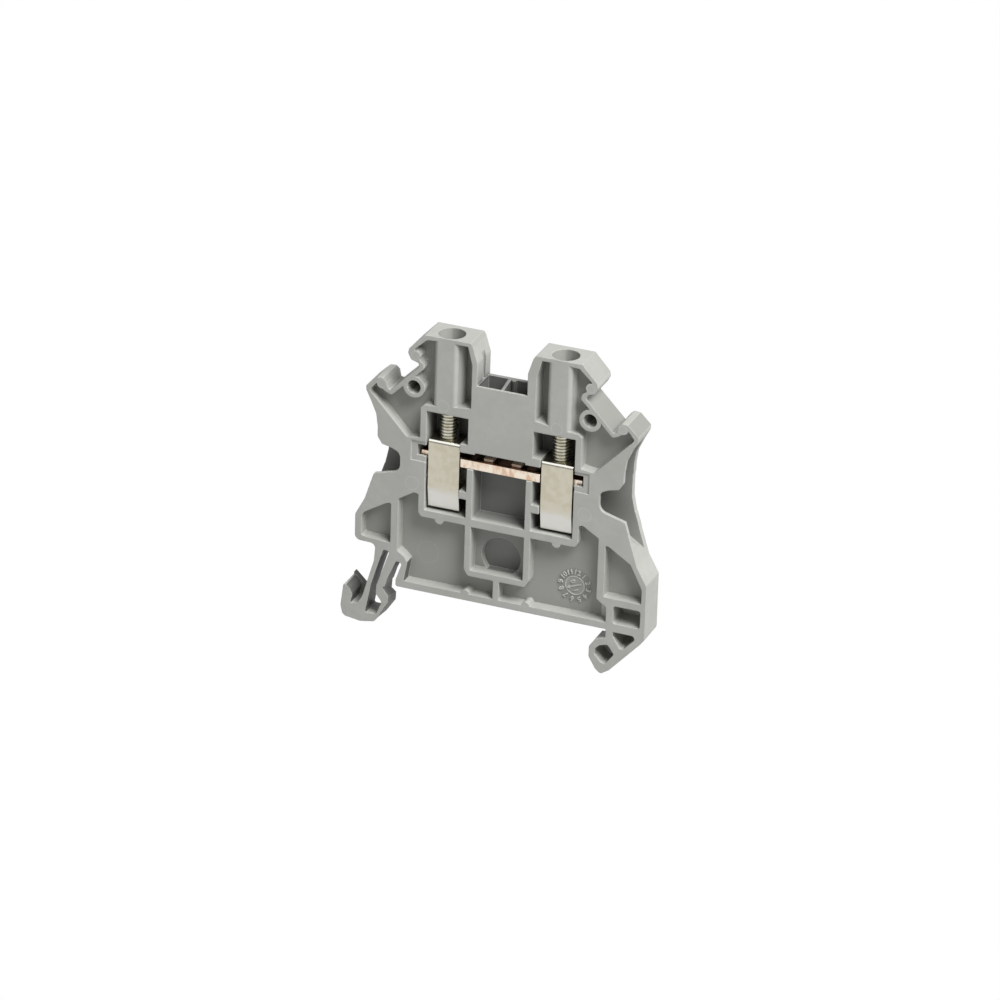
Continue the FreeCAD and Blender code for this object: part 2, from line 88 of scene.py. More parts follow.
# %% Place the camera
AZIMUTH = math.radians(20.95)
ELEVATION = math.radians(25.43)
ROLL = math.radians(1.91)
DISTANCE = 0.852
LENS, SENSOR = 208.8, 36
SHIFT_X, SHIFT_Y = -0.0049, -0.0043
AIM = Vector((0, 0, 17 * MM))

towards = Vector((math.sin(AZIMUTH) * math.cos(ELEVATION),
                  -math.cos(AZIMUTH) * math.cos(ELEVATION),
                  math.sin(ELEVATION)))
level = Vector((math.cos(AZIMUTH), math.sin(AZIMUTH), 0))
rise = towards.cross(level)
right = level * math.cos(ROLL) + rise * math.sin(ROLL)
up = rise * math.cos(ROLL) - level * math.sin(ROLL)

bpy.ops.object.camera_add()
camera = bpy.context.object
camera.name = "studio_camera"
turn = Matrix((right, up, towards)).transposed().to_4x4()
camera.matrix_world = Matrix.Translation(AIM + towards * DISTANCE) @ turn
camera.data.lens = LENS
camera.data.sensor_width = SENSOR
camera.data.shift_x = SHIFT_X
camera.data.shift_y = SHIFT_Y
camera.data.clip_start = 0.01
camera.data.clip_end = 10
bpy.context.scene.camera = camera
print("camera at", [round(v, 3) for v in camera.matrix_world.translation])

# %% [markdown]
# ## Shader maths that reads like maths
#
# Node trees are long to write by hand. A `Wire` stands for a value that comes
# out of a node. It takes part in `+ - *` like a number, and each operator adds
# one Math node. A `Finish` is a material with one method, `node`, that adds any
# other node: settings first, then the values or wires of its sockets.

# %% Wires and finishes
class Wire:
    def __init__(self, finish, socket):
        self.finish = finish
        self.socket = socket

    def __add__(self, other):
        return self.finish.maths("ADD", self, other)

    def __sub__(self, other):
        return self.finish.maths("SUBTRACT", self, other)

    def __mul__(self, other):
        return self.finish.maths("MULTIPLY", self, other)

    def __rsub__(self, other):
        return self.finish.maths("SUBTRACT", other, self)

    __radd__ = __add__
    __rmul__ = __mul__


class Finish:
    """A material whose node tree is written as sums."""

    def __init__(self, name, fixed=None):
        self.material = bpy.data.materials.new(name)
        self.material.use_nodes = True
        self.tree = self.material.node_tree
        self.shader = self.tree.nodes["Principled BSDF"]
        for socket, value in (fixed or {}).items():
            self.shader.inputs[socket].default_value = value

    def feed(self, socket, value):
        if isinstance(value, Wire):
            self.tree.links.new(value.socket, socket)
        else:
            socket.default_value = value

    def node(self, kind, settings=None, sockets=None, out=0):
        made = self.tree.nodes.new(kind)
        for key, value in (settings or {}).items():
            setattr(made, key, value)
        for key, value in (sockets or {}).items():
            self.feed(made.inputs[key], value)
        return Wire(self, made.outputs[out])

    def set(self, name, value):
        self.feed(self.shader.inputs[name], value)

    def maths(self, operation, *values):
        return self.node("ShaderNodeMath", {"operation": operation},
                         dict(enumerate(values)))

    def place(self, scale, offset):
        spot = self.node("ShaderNodeTexCoord", out="Object")
        return self.node("ShaderNodeMapping", {},
                         {"Vector": spot, "Scale": scale, "Location": offset})

    def noise(self, size, detail, scale=(1, 1, 1), offset=(0, 0, 0)):
        return self.node("ShaderNodeTexNoise", {}, {
            "Vector": self.place(scale, offset), "Scale": 1 / size, "Detail": detail})

    def mix(self, factor, first, second):
        return self.node("ShaderNodeMix", {"data_type": "RGBA"},
                         {0: factor, 6: first, 7: second}, out=2)

    def step(self, value, low, high, to_low=0.0, to_high=1.0):
        return self.node("ShaderNodeMapRange", {"interpolation_type": "SMOOTHSTEP"}, {
            "Value": value, "From Min": low, "From Max": high,
            "To Min": to_low, "To Max": to_high})

    def between(self, value, low, high, soft):
        """1 from low to high, fading to 0 over the width soft on either side."""
        return self.step(value, low - soft, low) * self.step(value, high + soft, high)

    def facing(self, direction):
        """1 where the surface looks along the direction, -1 where it looks against it."""
        normal = self.node("ShaderNodeNewGeometry", out="Normal")
        return self.node("ShaderNodeVectorMath", {"operation": "DOT_PRODUCT"},
                         {0: normal, 1: direction}, out="Value")

    def reach(self, across, along):
        """Distance from a centre, out of the distances along two axes."""
        return self.maths("SQRT", across * across + along * along)

    def axis(self, name):
        spot = self.node("ShaderNodeTexCoord", out="Object")
        return self.node("ShaderNodeSeparateXYZ", {}, {0: spot}, out=name)


def rgb(red, green, blue):
    """A colour written as 0 to 255, turned into the linear value a shader takes."""
    linear = []
    for part in (red, green, blue):
        share = part / 255
        linear.append(share / 12.92 if share < 0.04045 else ((share + 0.055) / 1.055) ** 2.4)
    return (*linear, 1.0)


def dress(names, finish):
    for name in names:
        for slot in nodes[name].material_slots:
            slot.material = finish.material
        print(name, "wears", finish.material.name)

# %% [markdown]
# ## Rounded edges without rounding the mesh
#
# A moulded edge is never sharp: it has a small radius that catches the light as a
# thin pale line. The Bevel node bends the shading normal near an edge as such a
# radius would. Comparing it with the plain normal also tells where the edges are,
# which lets a finish paint a highlight there. At the two ends of the latch arms the
# effect is faded out, because the arms are separate meshes there and the parting
# faces inside the plastic are not real edges.

# %% Edge rounding
BEVEL_SAMPLES = 6


def round_edges(finish, radius, fade=None):
    soft = finish.node("ShaderNodeBevel", {"samples": BEVEL_SAMPLES}, {"Radius": radius})
    normal = finish.node("ShaderNodeNewGeometry", out="Normal")
    if fade is not None:
        soft = finish.node("ShaderNodeMix", {"data_type": "VECTOR"},
                           {0: fade, 4: normal, 5: soft}, out=1)
    alike = finish.node("ShaderNodeVectorMath", {"operation": "DOT_PRODUCT"},
                        {0: soft, 1: normal}, out="Value")
    return soft, finish.step(alike, 1.0, 0.80)

# %% [markdown]
# ## Grey nylon
#
# The shell is polyamide, moulded in a spark-eroded tool. Its grey is slightly
# green and slightly warm, it has a fine even grain, and the flow of the melt
# leaves it a little uneven over several millimetres. The grain is far smaller
# than a millimetre, so it is a bump and a change of roughness, not a colour.
#
# The plastic itself is one colour, but one lamp and a plain room shade it less
# than real studio lights would. So some shade is painted into the colour. Darker
# than the plastic are the floors of the cores, the chambers and boxes, the bridge
# shafts, the slots and funnels, the saddle, the dish, the band under the date dial
# and the upper slopes. Painted light makes the small floors of the hook paler, and
# a painted highlight runs along the edges. The painted shade and light stay where
# they are from any side. Hairline circles stand for ejector pins and locating pegs.

# %% The nylon
# heights at which the latch arms leave the shell and join the foot
ROOT_Z, KNEE_Z = 3.20 * MM, -0.55 * MM
FRONT_Y = frame_box[0][1]
FLOOR_Y = FRONT_Y + 1.85 * MM
DIAL_X, DIAL_Z = 11.76 * MM, 5.12 * MM
DISH_R, DISH_Z = 3.10 * MM, 7.30 * MM
TO_FRONT, TO_RIGHT, TO_TOP = (0, -1, 0), (1, 0, 0), (0, 0, 1)
# painted shade for the floors of the cores
FLOOR_SHADE = rgb(146, 147, 142)
# painted shade for the deep spaces and the dish
DEEP_SHADE = rgb(88, 88, 86)
# x, z and radius in mm
FRONT_CIRCLES = [(-9.1, 30.75, 0.86), (8.7, 30.6, 0.86), (-13.7, 17.4, 1.05),
                 (13.5, 17.8, 1.05), (-13.7, 37.95, 0.62), (13.7, 37.95, 0.62),
                 (-18.9, 32.45, 0.62), (18.9, 32.45, 0.62)]
FLOOR_CIRCLES = [(-11.6, 5.7, 1.7)]
# Painted shade in the chambers, middle box, lower box, bridge shafts and the outer
# edge of those shafts: distance from the middle, height, then start and full depth in mm, then
# strength of the shade
DEEP_SPACES = [(5.0, 11.8, 13.3, 29.5, 0.2, 3.0, 0.90),
               (0.0, 4.3, 13.3, 21.6, 0.2, 1.6, 0.62),
               (0.0, 4.3, 5.0, 12.3, 0.3, 1.6, 0.22),
               (0.0, 3.92, 22.8, 34.85, 0.3, 0.6, 0.80),
               (3.86, 3.99, 34.5, 35.2, 0.4, 0.5, 0.70)]


def circles(finish, places, x, z):
    """1 on hairline circles in the XZ plane, 0 elsewhere."""
    total = None
    for centre_x, centre_z, radius in places:
        reach = finish.reach(x - centre_x * MM, z - centre_z * MM)
        off = finish.maths("ABSOLUTE", reach - radius * MM)
        line = finish.step(off, 0.10 * MM, 0.03 * MM)
        total = line if total is None else total + line
    return total


def shade_spaces(finish, colour, x, y, z):
    """Paint shade on the floors, the deep spaces, the funnels, the saddle and the dish."""
    front = finish.step(finish.facing(TO_FRONT), 0.90, 0.98)
    out_x = finish.maths("ABSOLUTE", x)
    inside = finish.step(y, 2.5 * MM, 2.4 * MM)
    floor = front * finish.step(y, FRONT_Y + 0.3 * MM, FRONT_Y + 0.6 * MM)
    # painted shade on the floors of the cores
    colour = finish.mix(floor * 0.80, colour, FLOOR_SHADE)
    for x0, x1, z0, z1, start, depth, share in DEEP_SPACES:
        space = finish.step(y, FRONT_Y + start * MM, FRONT_Y + depth * MM) * inside
        space = space * finish.between(out_x, x0 * MM, x1 * MM, 0.1 * MM)
        space = space * finish.between(z, z0 * MM, z1 * MM, 0.1 * MM)
        # painted shade in the deep spaces
        colour = finish.mix(space * share, colour, DEEP_SHADE)
    # painted shade on the back wall of a funnel, where it flares out past the shoulder
    flare = front * finish.step(y, 1.2 * MM, 1.5 * MM) * inside
    flare = flare * finish.step(out_x, 14.0 * MM, 14.1 * MM)
    flare = flare * finish.step(out_x, 23 * MM, 15 * MM)
    flare = flare * finish.step(z, 8.0 * MM, 9.0 * MM)
    colour = finish.mix(flare * 0.75, colour, rgb(84, 84, 82))
    # painted shade on the inner faces of the turrets, towards the saddle
    valley = finish.step(z, 39.5 * MM, 35.0 * MM) * finish.step(z, 34.2 * MM, 34.6 * MM)
    valley = valley * finish.step(out_x, 5.3 * MM, 5.2 * MM)
    valley = valley * finish.step(y, FRONT_Y + 0.1 * MM, FRONT_Y + 0.5 * MM)
    colour = finish.mix(valley * 0.30, colour, rgb(100, 100, 97))
    # painted shade in the round dish in the lower box, darkest at its foot
    dish = finish.step(finish.reach(x, z - DISH_Z), DISH_R, DISH_R - 0.1 * MM) * inside
    dish = dish * finish.step(y, FLOOR_Y - 0.3 * MM, FLOOR_Y - 0.2 * MM)
    strength = finish.step(z, DISH_Z + 2.4 * MM, DISH_Z - 1.6 * MM, 0.15, 0.75)
    colour = finish.mix(dish * strength, colour, DEEP_SHADE)
    return colour, floor


def shade_faces(finish, colour, floor, x, z):
    """Paint shade on the upper slopes and the slots of the latch, and light on the floors of the
    hook.
    """
    right = finish.facing(TO_RIGHT)
    # painted shade on the upper slopes that face right, which the one lamp lights too strongly
    slope = finish.step(right, 0.30, 0.55) * finish.step(finish.facing(TO_TOP), 0.30, 0.55)
    slope = slope * finish.step(z, 30.0 * MM, 31.0 * MM)
    strength = finish.step(z, 39.0 * MM, 34.0 * MM, 0.35, 0.75)
    colour = finish.mix(slope * strength, colour, rgb(130, 131, 126))
    # painted shade on the faces of the latch and of the shell beside it that look right, into
    # slots
    slot = finish.step(right, 0.3, 0.6) * finish.step(x, -13.8 * MM, -14.2 * MM)
    slot = slot * finish.step(z, 4.4 * MM, 4.2 * MM)
    colour = finish.mix(slot * 0.85, colour, rgb(62, 62, 60))
    # painted light on the small floors of the hook, paler because too little light reaches them
    hook = floor * finish.step(x, 16.0 * MM, 16.2 * MM) * finish.step(z, 4.3 * MM, 4.1 * MM)
    return finish.mix(hook, colour, rgb(206, 206, 203))


def nylon(name):
    finish = Finish(name, {"IOR": 1.53, "Specular IOR Level": 0.38})
    cloud = finish.noise(6 * MM, 3)
    grain = finish.noise(0.16 * MM, 3)
    mottle = finish.noise(1.1 * MM, 2, offset=(3, 1, 2))
    colour = finish.mix(finish.step(cloud, 0.35, 0.65), rgb(169, 170, 164), rgb(174, 175, 170))
    colour = finish.mix(finish.step(mottle, 0.42, 0.70, 0, 0.35), colour, rgb(164, 165, 159))
    x, y, z = finish.axis("X"), finish.axis("Y"), finish.axis("Z")
    colour, floor = shade_spaces(finish, colour, x, y, z)
    colour = shade_faces(finish, colour, floor, x, z)
    # painted shade: a darker band under the numbers of the date dial
    at_floor = finish.between(y, FLOOR_Y - 0.05 * MM, FLOOR_Y + 0.05 * MM, 0.05 * MM)
    reach = finish.reach(x - DIAL_X, z - DIAL_Z)
    band = finish.step(reach, 1.50 * MM, 1.65 * MM) * finish.step(reach, 3.0 * MM, 2.5 * MM)
    colour = finish.mix(band * at_floor * 0.32, colour, rgb(96, 96, 93))
    # hairline circles of pins and pegs
    at_front = finish.step(y, FRONT_Y + 0.1 * MM, FRONT_Y + 0.05 * MM)
    lines = circles(finish, FRONT_CIRCLES, x, z) * at_front
    lines = lines + circles(finish, FLOOR_CIRCLES, x, z) * at_floor * 0.35
    colour = finish.mix(lines * 0.42, colour, rgb(194, 195, 191))
    # painted highlight on the edges, but not at the parting faces of the latch arms
    half, soft_end = 0.20 * MM, 0.25 * MM
    root = finish.between(z, ROOT_Z - half, ROOT_Z + half, soft_end)
    knee = finish.between(z, KNEE_Z - half, KNEE_Z + half, soft_end)
    near = finish.step(x, -15.6 * MM, -16.0 * MM)
    soft, edge = round_edges(finish, 0.16 * MM, 1 - near * (root + knee))
    colour = finish.mix(edge * 0.62, colour, rgb(207, 208, 204))
    finish.set("Base Color", colour)
    finish.set("Roughness", 0.44 + grain * 0.12 + mottle * 0.06)
    finish.set("Normal", finish.node("ShaderNodeBump", {}, {
        "Strength": 0.22, "Distance": 0.02 * MM, "Height": grain + lines * 0.5,
        "Normal": soft}))
    return finish


grey_nylon = nylon("grey_nylon")
dress(["housing", "latch_foot"], grey_nylon)

# %% [markdown]
# ## Plated steel sleeves
#
# The clamping sleeves are bent from strip steel and zinc plated. The plating is
# satin, a little warm, and its brightness changes in patches a millimetre across.
# Fine lines run up and down, so the grain is stretched along Z. The jaw is painted
# whiter, the top rim bright, and the seam of the fold darker, and so are the faces
# that look sideways, up or down. These stand for what the metal would reflect in
# a real studio.

# %% The sleeves
JAW_Z, SEAM_Z, RIM_Z = 16.0 * MM, 24.44 * MM, 24.66 * MM


def plated(name):
    finish = Finish(name)
    patches = finish.noise(1.3 * MM, 4, offset=(7, 0, 0))
    lines = finish.noise(0.22 * MM, 2, scale=(1, 1, 0.06))
    speck = finish.noise(0.10 * MM, 2)
    colour = finish.mix(finish.step(patches, 0.36, 0.62), rgb(197, 190, 171), rgb(205, 200, 184))
    z = finish.axis("Z")
    # painted reflection: the jaw is whiter
    jaw = finish.step(z + (patches - 0.5) * 1.2 * MM, JAW_Z + 1.8 * MM, JAW_Z)
    colour = finish.mix(jaw, colour, rgb(215, 214, 208))
    # painted reflection: the faces that look sideways, up or down are darker
    away = finish.step(finish.maths("ABSOLUTE", finish.facing(TO_FRONT)), 0.25, 0.10)
    colour = finish.mix(away * 0.85, colour, rgb(84, 80, 66))
    # painted highlight on the rounded top edge, with painted shade in the seam of the fold just
    # below it
    seam = finish.step(z, SEAM_Z - 0.10 * MM, SEAM_Z) * (1 - away)
    colour = finish.mix(seam * 0.6, colour, rgb(60, 56, 46))
    rim = finish.step(z, RIM_Z - 0.08 * MM, RIM_Z) * (1 - away)
    colour = finish.mix(rim, colour, rgb(255, 253, 244))
    colour = finish.mix(finish.step(speck, 0.60, 0.75, 0, 0.30), colour, rgb(176, 170, 152))
    soft, edge = round_edges(finish, 0.10 * MM)
    # painted highlight on the edges
    finish.set("Base Color", finish.mix(edge * 0.75, colour, rgb(244, 242, 232)))
    finish.set("Metallic", 1.0)
    satin = 0.34 + lines * 0.10 + finish.step(patches, 0.3, 0.7) * 0.08
    finish.set("Roughness", satin - rim * 0.2)
    finish.set("Normal", finish.node("ShaderNodeBump", {}, {
        "Strength": 0.18, "Distance": 0.015 * MM, "Height": lines, "Normal": soft}))
    return finish


plated_steel = plated("plated_steel")
dress(["clamping_sleeve_left", "clamping_sleeve_right"], plated_steel)

# %% [markdown]
# ## The copper bar
#
# The bar is bare copper strip, pale on its front edge. Its faces that look up or
# down are painted brown, as painted shade. The shade of the slot is painted in as a
# deep brown behind the front strip, and the two lugs are painted pale, as painted
# light. Streaks along Z stand for the marks of the punch.

# %% The copper
LUG_X0, LUG_X1, LUG_Z = 1.45 * MM, 2.95 * MM, 22.74 * MM
SHADE_X = 6.4 * MM


def bare_copper(name):
    finish = Finish(name)
    tarnish = finish.noise(0.9 * MM, 4, scale=(1, 1, 0.4), offset=(0, 5, 0))
    punch = finish.noise(0.30 * MM, 3, scale=(1, 1, 0.25))
    colour = finish.mix(finish.step(tarnish, 0.38, 0.60), rgb(220, 188, 160), rgb(242, 230, 214))
    # painted shade on the faces that look up or down
    up_down_shade = finish.step(finish.maths("ABSOLUTE", finish.facing(TO_TOP)), 0.5, 0.8)
    colour = finish.mix(up_down_shade, colour, rgb(168, 118, 84))
    # painted shade behind the front strip, but not on the two lugs
    out_x = finish.maths("ABSOLUTE", finish.axis("X"))
    behind = finish.step(finish.axis("Y"), FRONT_Y + 0.70 * MM, FRONT_Y + 0.95 * MM)
    behind = behind * finish.step(out_x, SHADE_X + 0.2 * MM, SHADE_X)
    lug = finish.between(out_x, LUG_X0, LUG_X1, 0.05 * MM)
    lug = lug * finish.step(finish.axis("Z"), LUG_Z - 0.04 * MM, LUG_Z)
    colour = finish.mix(behind * (1 - lug), colour, rgb(46, 34, 27))
    # painted light on the two lugs
    colour = finish.mix(behind * lug, colour, rgb(255, 234, 210))
    soft, edge = round_edges(finish, 0.12 * MM)
    # painted highlight on the edges, but not in the painted shade behind the front strip
    finish.set("Base Color", finish.mix(edge * 0.5 * (1 - behind), colour,
                                        rgb(252, 244, 236)))
    finish.set("Metallic", 1 - behind * lug * 0.85)
    finish.set("Roughness", 0.30 + punch * 0.16)
    finish.set("Normal", finish.node("ShaderNodeBump", {}, {
        "Strength": 0.25, "Distance": 0.02 * MM, "Height": punch, "Normal": soft}))
    return finish


copper = bare_copper("bare_copper")
dress(["current_bar"], copper)

# %% [markdown]
# ## The studio
#
# A grey table lies just below the block, in a dim white room. One broad lamp in
# front, above and to the right lights it, so the cores fall into soft shade. The
# camera sees the room and the table as pure white, and so do reflections, because
# the Light Path node swaps both for white on those rays only.

# %% Room, table and lamp
ROOM_STRENGTH = 0.22
TABLE_GREY = 0.50
LAMP_PLACE, LAMP_SIZE, LAMP_POWER = (0.312, -0.180, 0.497), 0.35, 5.25


def white_for_camera(tree, plain, white_kind):
    """Swap a shader for pure white on camera, glossy and transmission rays."""
    path = tree.nodes.new("ShaderNodeLightPath")
    swapped = path.outputs["Is Camera Ray"]
    for ray in ("Is Glossy Ray", "Is Transmission Ray"):
        either = tree.nodes.new("ShaderNodeMath")
        either.operation = "MAXIMUM"
        tree.links.new(swapped, either.inputs[0])
        tree.links.new(path.outputs[ray], either.inputs[1])
        swapped = either.outputs[0]
    white = tree.nodes.new(white_kind)
    white.inputs["Color"].default_value = (1, 1, 1, 1)
    white.inputs["Strength"].default_value = 1.0
    both = tree.nodes.new("ShaderNodeMixShader")
    tree.links.new(swapped, both.inputs[0])
    tree.links.new(plain, both.inputs[1])
    tree.links.new(white.outputs[0], both.inputs[2])
    return both.outputs[0]


world = bpy.data.worlds.new("white_room")
bpy.context.scene.world = world
world.use_nodes = True
room = world.node_tree
plain = room.nodes["Background"]
plain.inputs["Color"].default_value = (1, 1, 1, 1)
plain.inputs["Strength"].default_value = ROOM_STRENGTH
room.links.new(white_for_camera(room, plain.outputs[0], "ShaderNodeBackground"),
               room.nodes["World Output"].inputs["Surface"])

bpy.ops.mesh.primitive_plane_add(size=4, location=(0, 0, frame_box[0][2] - 0.2 * MM))
table = bpy.context.object
table.name = "table"
table_paint = bpy.data.materials.new("table_paint")
table_paint.use_nodes = True
paint = table_paint.node_tree
base = paint.nodes["Principled BSDF"]
base.inputs["Base Color"].default_value = (TABLE_GREY, TABLE_GREY, TABLE_GREY, 1)
base.inputs["Roughness"].default_value = 0.8
paint.links.new(white_for_camera(paint, base.outputs[0], "ShaderNodeEmission"),
                paint.nodes["Material Output"].inputs["Surface"])
table.data.materials.append(table_paint)


def lamp(name, place, size, power):
    bpy.ops.object.light_add(type="AREA", location=place)
    made = bpy.context.object
    made.name = name
    made.data.shape = "DISK"
    made.data.size = size
    made.data.energy = power
    made.rotation_euler = (AIM - Vector(place)).to_track_quat("-Z", "Y").to_euler()


lamp("key_from_the_right", LAMP_PLACE, LAMP_SIZE, LAMP_POWER)
bpy.context.scene.view_settings.view_transform = "Standard"

# %% [markdown]
# ## Latch arms cut into slices
#
# The latch hangs on two springy arms. When a screwdriver pulls it back, the arms
# bend between the shell and the foot. Rigid meshes would tear open there, so each
# arm is a copy of its solid, cut across into thin slices, and the solid itself is
# hidden.

# %% Slice the arms
ARM_SLICES = 10


def deselect():
    bpy.ops.object.select_all(action="DESELECT")


def only(piece):
    deselect()
    piece.select_set(True)
    bpy.context.view_layer.objects.active = piece


def bending_copy(name, source):
    piece = nodes[source].copy()
    piece.data = piece.data.copy()
    piece.name = piece.data.name = name
    bpy.context.collection.objects.link(piece)
    piece.parent = None
    piece.matrix_world = Matrix.Identity(4)
    only(piece)
    bpy.ops.object.mode_set(mode="EDIT")
    bpy.ops.mesh.select_all(action="SELECT")
    bpy.ops.mesh.remove_doubles(threshold=WELD)
    bpy.ops.mesh.dissolve_limited(angle_limit=math.radians(1))
    for i in range(1, ARM_SLICES):
        height = KNEE_Z + (ROOT_Z - KNEE_Z) * i / ARM_SLICES
        bpy.ops.mesh.select_all(action="SELECT")
        bpy.ops.mesh.bisect(plane_co=(0, 0, height), plane_no=(0, 0, 1))
    bpy.ops.mesh.select_all(action="SELECT")
    bpy.ops.mesh.quads_convert_to_tris()
    bpy.ops.object.mode_set(mode="OBJECT")
    piece.data.materials.clear()
    piece.data.materials.append(grey_nylon.material)
    print(name, len(piece.data.polygons), "faces")
    return piece


for arm in ("outer", "inner"):
    source = "latch_arm_" + arm
    spring = bending_copy("bending_arm_" + arm, source)
    low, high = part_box(source)
    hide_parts(source)
    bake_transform(spring)

# %% [markdown]
# ## The date dial
#
# The moulding tool leaves its month in a floor that the next block covers: twelve
# numbers round a small disc with an arrow and two figures of the year. Each number
# or figure is a Text object that is turned into a mesh first and then stood upright
# on the floor of the right-hand core. The rim of the disc is a torus that is half
# sunk in, and the arrow is a bar with a three-sided cylinder for its tip. The dial
# is painted paler than the floor round it, as painted light, so that it can be read.

# %% Build the dial
RAISED = 0.16 * MM
DIAL_TURN = 9
NUMBER_SIZE, NUMBER_REACH = 1.12 * MM, 2.18 * MM
FIGURE_SIZE, FIGURE_REACH = 1.0 * MM, 0.72 * MM
RIM_R, RIM_THICK = 1.47 * MM, 0.08 * MM
SHAFT_W, SHAFT_LENGTH, SHAFT_SHIFT = 0.16 * MM, 1.9 * MM, -0.15 * MM
TIP_R, TIP_REACH = 0.34 * MM, 0.98 * MM


def stand_up(piece, x, z, turn):
    """Stand a flat mesh on the core floor, turned clockwise, facing the front."""
    piece.data.transform(Matrix.Translation((x, FLOOR_Y, z))
                         @ Matrix.Rotation(turn, 4, "Y")
                         @ Matrix.Rotation(math.radians(90), 4, "X"))


def number(body, size, reach, angle, turn):
    deselect()
    bpy.ops.object.text_add(location=(0, 0, 0))
    piece = bpy.context.object
    piece.data.body = body
    piece.data.size = size
    piece.data.extrude = RAISED
    piece.data.offset = 0.02 * MM
    piece.data.resolution_u = 3
    piece.data.align_x = piece.data.align_y = "CENTER"
    bpy.ops.object.convert(target="MESH")
    piece = bpy.context.object
    only(piece)
    bpy.ops.object.mode_set(mode="EDIT")
    bpy.ops.mesh.select_all(action="SELECT")
    bpy.ops.mesh.remove_doubles(threshold=FINE_WELD)
    bpy.ops.mesh.normals_make_consistent(inside=False)
    bpy.ops.object.mode_set(mode="OBJECT")
    stand_up(piece, DIAL_X + reach * math.sin(angle), DIAL_Z + reach * math.cos(angle), turn)
    return piece


def clock(hours):
    return math.radians(30 * hours + DIAL_TURN)


dial = [number(str(n), NUMBER_SIZE, NUMBER_REACH, clock(n), clock(n)) for n in range(1, 13)]
MONTH = clock(8)
for figure, side in (("1", -90), ("0", 90)):
    dial.append(number(figure, FIGURE_SIZE, FIGURE_REACH, MONTH + math.radians(side), MONTH))

deselect()
bpy.ops.mesh.primitive_torus_add(location=(0, 0, 0), major_radius=RIM_R,
                                 minor_radius=RIM_THICK, major_segments=48,
                                 minor_segments=10)
rim = bpy.context.object
stand_up(rim, DIAL_X, DIAL_Z, 0.0)
dial.append(rim)

deselect()
bpy.ops.mesh.primitive_cube_add(size=1, location=(0, SHAFT_SHIFT, 0))
shaft = bpy.context.object
shaft.scale = (SHAFT_W, SHAFT_LENGTH, 2 * RAISED)
bpy.ops.object.transform_apply(location=True, rotation=True, scale=True)
stand_up(shaft, DIAL_X, DIAL_Z, MONTH)
dial.append(shaft)

deselect()
bpy.ops.mesh.primitive_cylinder_add(vertices=3, radius=TIP_R, depth=2.2 * RAISED,
                                    location=(0, TIP_REACH, 0))
tip = bpy.context.object
bpy.ops.object.transform_apply(location=True, rotation=True, scale=True)
stand_up(tip, DIAL_X, DIAL_Z, MONTH)
dial.append(tip)

# painted light: the raised dial is paler than the floor round it
pale_nylon = Finish("pale_nylon", {"IOR": 1.53, "Roughness": 0.38})
pale_nylon.set("Base Color", rgb(186, 187, 182))

deselect()
for piece in dial:
    piece.select_set(True)
bpy.context.view_layer.objects.active = rim
bpy.ops.object.join()
rim.name = rim.data.name = "date_dial"
bpy.ops.object.transform_apply(location=True, rotation=True, scale=True)
rim.data.materials.clear()
rim.data.materials.append(pale_nylon.material)
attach(rim, "housing_body")
print("date dial:", len(rim.data.polygons), "faces")

# %% [markdown]
# ## Screws with a real thread
#
# The screws catch the light on every turn, so the thread is geometry. One tooth of
# the thread is drawn as a short line, and the Screw modifier sweeps it round and
# up by one pitch per turn. Each turn ends where the next begins, so the turns
# merge into one skin. Both ends are cut flat and filled. The head is a cylinder
# with a rounded rim and a driver slot, and overlaps the thread a little.

# %% One threaded shank
PITCH = 0.5 * MM
CREST_R, ROOT_R = 1.46 * MM, 1.20 * MM
THREAD_STEPS = 28
HEAD_HEIGHT, HEAD_BEVEL = 2.10 * MM, 0.25 * MM
HEAD_OVERLAP = 0.30 * MM
SLOT_WIDTH, SLOT_DEPTH = 0.80 * MM, 1.2 * MM


def cut_flat(height, outward):
    """Cut the mesh in edit mode at a height, drop the outer side and close it."""
    bpy.ops.mesh.select_all(action="SELECT")
    bpy.ops.mesh.bisect(plane_co=(0, 0, height), plane_no=(0, 0, outward),
                        threshold=FINE_WELD, clear_outer=True, use_fill=True)


def threaded_shank(x, y, z0, z1):
    turns = int((z1 - z0) / PITCH) + 3
    bpy.ops.mesh.primitive_plane_add(size=PITCH, location=(0, 0, 0))
    piece = bpy.context.object
    bpy.ops.object.mode_set(mode="EDIT")
    bpy.ops.mesh.select_all(action="SELECT")
    bpy.ops.mesh.merge(type="CENTER")
    bpy.ops.transform.translate(value=(x + ROOT_R, y, z0 - PITCH))
    path = [(0, 0.10), (CREST_R - ROOT_R, 0.26), (0, 0.14),
            (ROOT_R - CREST_R, 0.26), (0, 0.24)]
    for dx, share in path:
        bpy.ops.mesh.extrude_region_move(
            TRANSFORM_OT_translate={"value": (dx, 0, share * PITCH)})
    bpy.ops.object.mode_set(mode="OBJECT")
    bpy.context.scene.cursor.location = (0, 0, 0)
    piece.data.transform(Matrix.Translation((-x, -y, 0)))
    sweep = piece.modifiers.new("sweep", "SCREW")
    sweep.axis = "Z"
    sweep.screw_offset = PITCH
    sweep.iterations = turns
    sweep.steps = sweep.render_steps = THREAD_STEPS
    sweep.use_merge_vertices = True
    sweep.merge_threshold = WELD
    bpy.ops.object.modifier_apply(modifier=sweep.name)
    piece.data.transform(Matrix.Translation((x, y, 0)))
    bpy.ops.object.mode_set(mode="EDIT")
    bpy.ops.mesh.select_all(action="SELECT")
    bpy.ops.mesh.remove_doubles(threshold=WELD)
    cut_flat(z0, -1)
    cut_flat(z1, 1)
    bpy.ops.mesh.select_all(action="SELECT")
    bpy.ops.mesh.normals_make_consistent(inside=False)
    bpy.ops.object.mode_set(mode="OBJECT")
    return piece

# %% [markdown]
# The head starts as a cylinder primitive. Its top edge is bevelled in edit mode,
# and a boolean takes out the driver slot.

